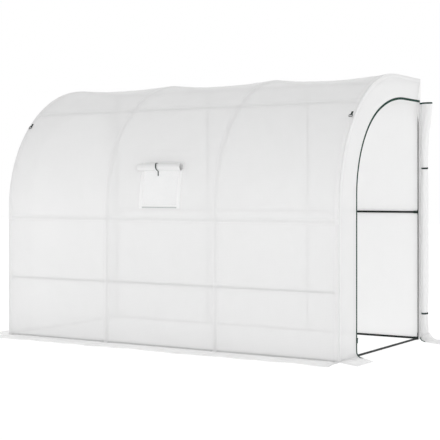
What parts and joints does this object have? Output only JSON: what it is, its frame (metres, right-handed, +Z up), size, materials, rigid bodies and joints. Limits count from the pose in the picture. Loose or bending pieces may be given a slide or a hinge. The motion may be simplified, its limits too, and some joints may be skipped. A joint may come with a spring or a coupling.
{
  "type": "lean-to greenhouse",
  "caption": "Walk-in lean-to greenhouse: bent steel tube hoops under a milky film cover, a rolled zip door at each end, a net window in the curved front.",
  "frame": {"origin": "on the ground, under the middle of the whole outline", "axes": "+X along the house, +Y towards the wall it leans on, +Z up"},
  "size_m": [3.54, 1.7194, 2.0872],
  "materials": {
    "frame_tube": "satin powder coat",
    "connector": "moulded",
    "film": "milky woven film",
    "zip_tape": "woven tape",
    "zip_slider": "moulded",
    "tie_webbing": "woven webbing",
    "guy_ring": "black coat",
    "window_net": "open net",
    "closing_strip": "hook and loop"
  },
  "bodies": {
    "root": {"front_leg_1": "frame_tube", "front_leg_2": "frame_tube", "front_leg_3": "frame_tube", "front_leg_4": "frame_tube", "roof_tube_1": "frame_tube", "roof_tube_2": "frame_tube", "roof_tube_3": "frame_tube", "roof_tube_4": "frame_tube", "back_post_1": "frame_tube", "back_post_2": "frame_tube", "back_post_3": "frame_tube", "back_post_4": "frame_tube", "front_low_rail_1": "frame_tube", "front_low_rail_2": "frame_tube", "front_low_rail_3": "frame_tube", "front_mid_rail_1": "frame_tube", "front_mid_rail_2": "frame_tube", "front_mid_rail_3": "frame_tube", "roof_rail_1": "frame_tube", "roof_rail_2": "frame_tube", "roof_rail_3": "frame_tube", "back_top_rail_1": "frame_tube", "back_top_rail_2": "frame_tube", "back_top_rail_3": "frame_tube", "front_base_rails": "frame_tube", "back_base_rails": "frame_tube", "back_mid_rails": "frame_tube", "left_threshold_tube": "frame_tube", "right_threshold_tube": "frame_tube", "foot_connectors": "connector", "corner_connectors": "connector", "low_rail_connectors": "connector", "mid_rail_connectors": "connector", "roof_rail_connectors": "connector", "back_rail_connectors": "connector", "main_cover": "film", "back_cover": "film", "left_end_panel": "film", "right_end_panel": "film", "left_door_sheet": "film", "right_door_sheet": "film", "window_border": "film", "window_flap_sheet": "film", "left_zip_tape": "zip_tape", "right_zip_tape": "zip_tape", "guy_tabs": "tie_webbing", "window_net": "window_net", "window_strip": "closing_strip"},
    "left_door": {"left_door_roll": "film", "left_door_ties": "tie_webbing"},
    "right_door": {"right_door_roll": "film", "right_door_ties": "tie_webbing"},
    "window_flap": {"window_flap_roll": "film", "window_tie": "tie_webbing"},
    "left_zip_slider": {"left_zip_slider": "zip_slider"},
    "right_zip_slider": {"right_zip_slider": "zip_slider"},
    "left_zip_pull": {"left_zip_pull": "zip_slider"},
    "right_zip_pull": {"right_zip_pull": "zip_slider"},
    "left_guy_ring": {"left_guy_ring": "guy_ring"},
    "right_guy_ring": {"right_guy_ring": "guy_ring"}
  },
  "joints": [
    {"name": "left_door_unroll", "type": "slide", "parent": "root", "child": "left_door", "axis": [0, -1, 0], "range_m": [0, 1.13], "deforming": ["left_door_sheet"]},
    {"name": "left_zip_slide", "type": "slide", "parent": "root", "child": "left_zip_slider", "axis": [0, 0, 1], "range_m": [0, 1]},
    {"name": "left_zip_pull_swing", "type": "hinge", "parent": "left_zip_slider", "child": "left_zip_pull", "pos_m": [-1.5208, -0.354, 0.139], "axis": [0, 1, 0], "range_deg": [0, 160]},
    {"name": "left_guy_ring_swing", "type": "hinge", "parent": "root", "child": "left_guy_ring", "pos_m": [-1.486, -0.38845, 1.73341], "axis": [-1, 0, 0], "range_deg": [0, 150]},
    {"name": "right_door_unroll", "type": "slide", "parent": "root", "child": "right_door", "axis": [0, -1, 0], "range_m": [0, 1.13], "deforming": ["right_door_sheet"]},
    {"name": "right_zip_slide", "type": "slide", "parent": "root", "child": "right_zip_slider", "axis": [0, 0, 1], "range_m": [0, 1]},
    {"name": "right_zip_pull_swing", "type": "hinge", "parent": "right_zip_slider", "child": "right_zip_pull", "pos_m": [1.5208, -0.354, 0.139], "axis": [0, -1, 0], "range_deg": [0, 160]},
    {"name": "right_guy_ring_swing", "type": "hinge", "parent": "root", "child": "right_guy_ring", "pos_m": [1.486, -0.38845, 1.73341], "axis": [-1, 0, 0], "range_deg": [0, 150]},
    {"name": "window_flap_unroll", "type": "hinge", "parent": "root", "child": "window_flap", "pos_m": [0, 0.3975, 1.055], "axis": [1, 0, 0], "range_deg": [0, 16], "deforming": ["window_flap_sheet"]}
  ]
}
